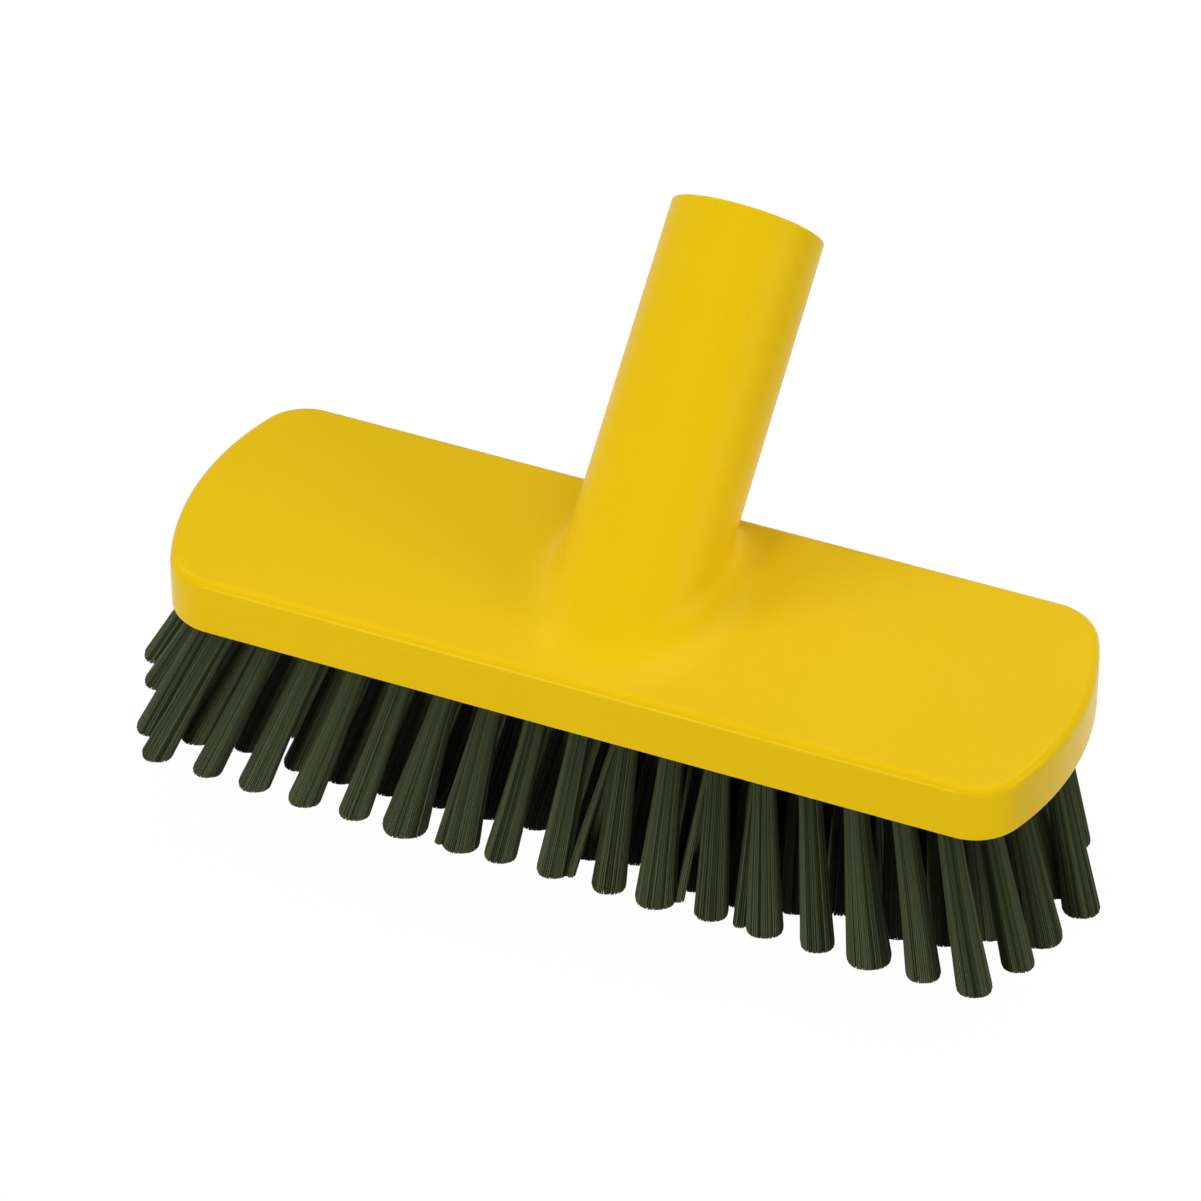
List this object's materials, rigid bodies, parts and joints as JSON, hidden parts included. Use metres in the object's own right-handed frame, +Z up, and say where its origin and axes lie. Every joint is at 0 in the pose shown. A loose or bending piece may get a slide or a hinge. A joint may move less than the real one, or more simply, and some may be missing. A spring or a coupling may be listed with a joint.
{
  "type": "deck brush head",
  "caption": "Deck brush head: long rounded plastic block with a slanted round handle socket, set underneath with staggered rows of stiff, fanned bristle tufts.",
  "frame": {"origin": "middle of the bounding box, at its base: the brush stands on its trimmed bristle tips at z = 0", "axes": "+X along the block to the right as seen from the front, +Y to the rear, the way the handle socket leans, +Z up"},
  "size_m": [0.2506, 0.1208, 0.1373],
  "materials": {
    "yellow_plastic": "smooth satin moulded polypropylene, golden yellow",
    "dark_green_bristle": "stiff straight filaments, very dark olive green"
  },
  "bodies": {
    "root": {"block_with_handle_socket": "yellow_plastic", "bristles_front_row_left_end": "dark_green_bristle", "bristles_front_row_left": "dark_green_bristle", "bristles_front_row_middle": "dark_green_bristle", "bristles_front_row_right": "dark_green_bristle", "bristles_front_row_right_end": "dark_green_bristle", "bristles_second_row_left_end": "dark_green_bristle", "bristles_second_row_left": "dark_green_bristle", "bristles_second_row_middle": "dark_green_bristle", "bristles_second_row_right": "dark_green_bristle", "bristles_second_row_right_end": "dark_green_bristle", "bristles_third_row_left_end": "dark_green_bristle", "bristles_third_row_left": "dark_green_bristle", "bristles_third_row_middle": "dark_green_bristle", "bristles_third_row_right": "dark_green_bristle", "bristles_third_row_right_end": "dark_green_bristle", "bristles_fourth_row_left_end": "dark_green_bristle", "bristles_fourth_row_left": "dark_green_bristle", "bristles_fourth_row_middle": "dark_green_bristle", "bristles_fourth_row_right": "dark_green_bristle", "bristles_fourth_row_right_end": "dark_green_bristle", "bristles_fifth_row_left_end": "dark_green_bristle", "bristles_fifth_row_left": "dark_green_bristle", "bristles_fifth_row_middle": "dark_green_bristle", "bristles_fifth_row_right": "dark_green_bristle", "bristles_fifth_row_right_end": "dark_green_bristle", "bristles_rear_row_left_end": "dark_green_bristle", "bristles_rear_row_left": "dark_green_bristle", "bristles_rear_row_middle": "dark_green_bristle", "bristles_rear_row_right": "dark_green_bristle", "bristles_rear_row_right_end": "dark_green_bristle"}
  },
  "joints": []
}
